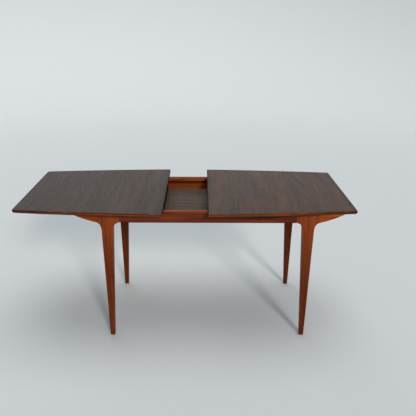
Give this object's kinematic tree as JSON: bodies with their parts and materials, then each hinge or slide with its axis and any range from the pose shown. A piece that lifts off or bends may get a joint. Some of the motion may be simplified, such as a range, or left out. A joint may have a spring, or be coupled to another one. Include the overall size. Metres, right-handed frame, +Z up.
{
  "type": "extendable dining table",
  "caption": "Boat-shaped wooden dining table: two half tops slide apart on a rail frame with tapered legs, over a well that stores a loose leaf.",
  "frame": {"origin": "on the floor, under the middle of the table's box as pictured, with the left half top drawn out", "axes": "+X along the length, towards the closed right half top; +Y from the front long side to the back one; +Z up"},
  "size_m": [1.7286, 0.838, 0.737],
  "materials": {
    "frame_wood": "satin red-brown oiled hardwood",
    "top_veneer": "satin dark brown veneer, grain across the table",
    "lipping_wood": "satin red-brown solid edge strip with worn arrises",
    "inner_wood": "plain planed pale hardwood, unpolished",
    "felt": "dark wool felt",
    "glide": "worn dark nylon"
  },
  "bodies": {
    "frame": {"side_rail_front": "frame_wood", "slide_strip_front": "frame_wood", "slide_ledge_front": "frame_wood", "leaf_fence_front": "frame_wood", "side_rail_back": "frame_wood", "slide_strip_back": "frame_wood", "slide_ledge_back": "frame_wood", "leaf_fence_back": "frame_wood", "bearer_left": "inner_wood", "bearer_middle": "inner_wood", "bearer_right": "inner_wood", "end_rail_left": "frame_wood", "end_rail_right": "frame_wood", "leg_front_left": "frame_wood", "wing_front_left": "frame_wood", "foot_glide_front_left": "glide", "slide_pad_front_left": "felt", "leg_back_left": "frame_wood", "wing_back_left": "frame_wood", "foot_glide_back_left": "glide", "slide_pad_back_left": "felt", "leg_front_right": "frame_wood", "wing_front_right": "frame_wood", "foot_glide_front_right": "glide", "slide_pad_front_right": "felt", "leg_back_right": "frame_wood", "wing_back_right": "frame_wood", "foot_glide_back_right": "glide", "slide_pad_back_right": "felt"},
    "left_top": {"left_top_panel": "top_veneer", "left_top_lipping_inner": "lipping_wood", "left_top_lipping_end": "lipping_wood", "left_top_lipping_front": "lipping_wood", "left_top_lipping_back": "lipping_wood", "left_top_batten_inner": "frame_wood", "left_top_batten_outer": "inner_wood", "left_top_runner_front": "inner_wood", "left_top_tongue_front": "inner_wood", "left_top_runner_back": "inner_wood", "left_top_tongue_back": "inner_wood"},
    "right_top": {"right_top_panel": "top_veneer", "right_top_lipping_inner": "lipping_wood", "right_top_lipping_end": "lipping_wood", "right_top_lipping_front": "lipping_wood", "right_top_lipping_back": "lipping_wood", "right_top_batten_inner": "frame_wood", "right_top_batten_outer": "inner_wood", "right_top_runner_front": "inner_wood", "right_top_tongue_front": "inner_wood", "right_top_runner_back": "inner_wood", "right_top_tongue_back": "inner_wood", "top_dowel_front": "lipping_wood", "top_dowel_middle": "lipping_wood", "top_dowel_back": "lipping_wood"},
    "leaf": {"leaf_panel": "top_veneer", "leaf_lipping_left": "lipping_wood", "leaf_lipping_right": "lipping_wood", "leaf_dowel_front": "lipping_wood", "leaf_dowel_middle": "lipping_wood", "leaf_dowel_back": "lipping_wood"}
  },
  "joints": [
    {"name": "left_top_slide", "type": "slide", "parent": "frame", "child": "left_top", "axis": [1, 0, 0], "range_m": [0, 0.2285]},
    {"name": "right_top_slide", "type": "slide", "parent": "frame", "child": "right_top", "axis": [1, 0, 0], "range_m": [0, 0.2285]},
    {"name": "leaf_slide", "type": "slide", "parent": "frame", "child": "leaf", "axis": [1, 0, 0], "range_m": [-0.4, 0.4]}
  ]
}
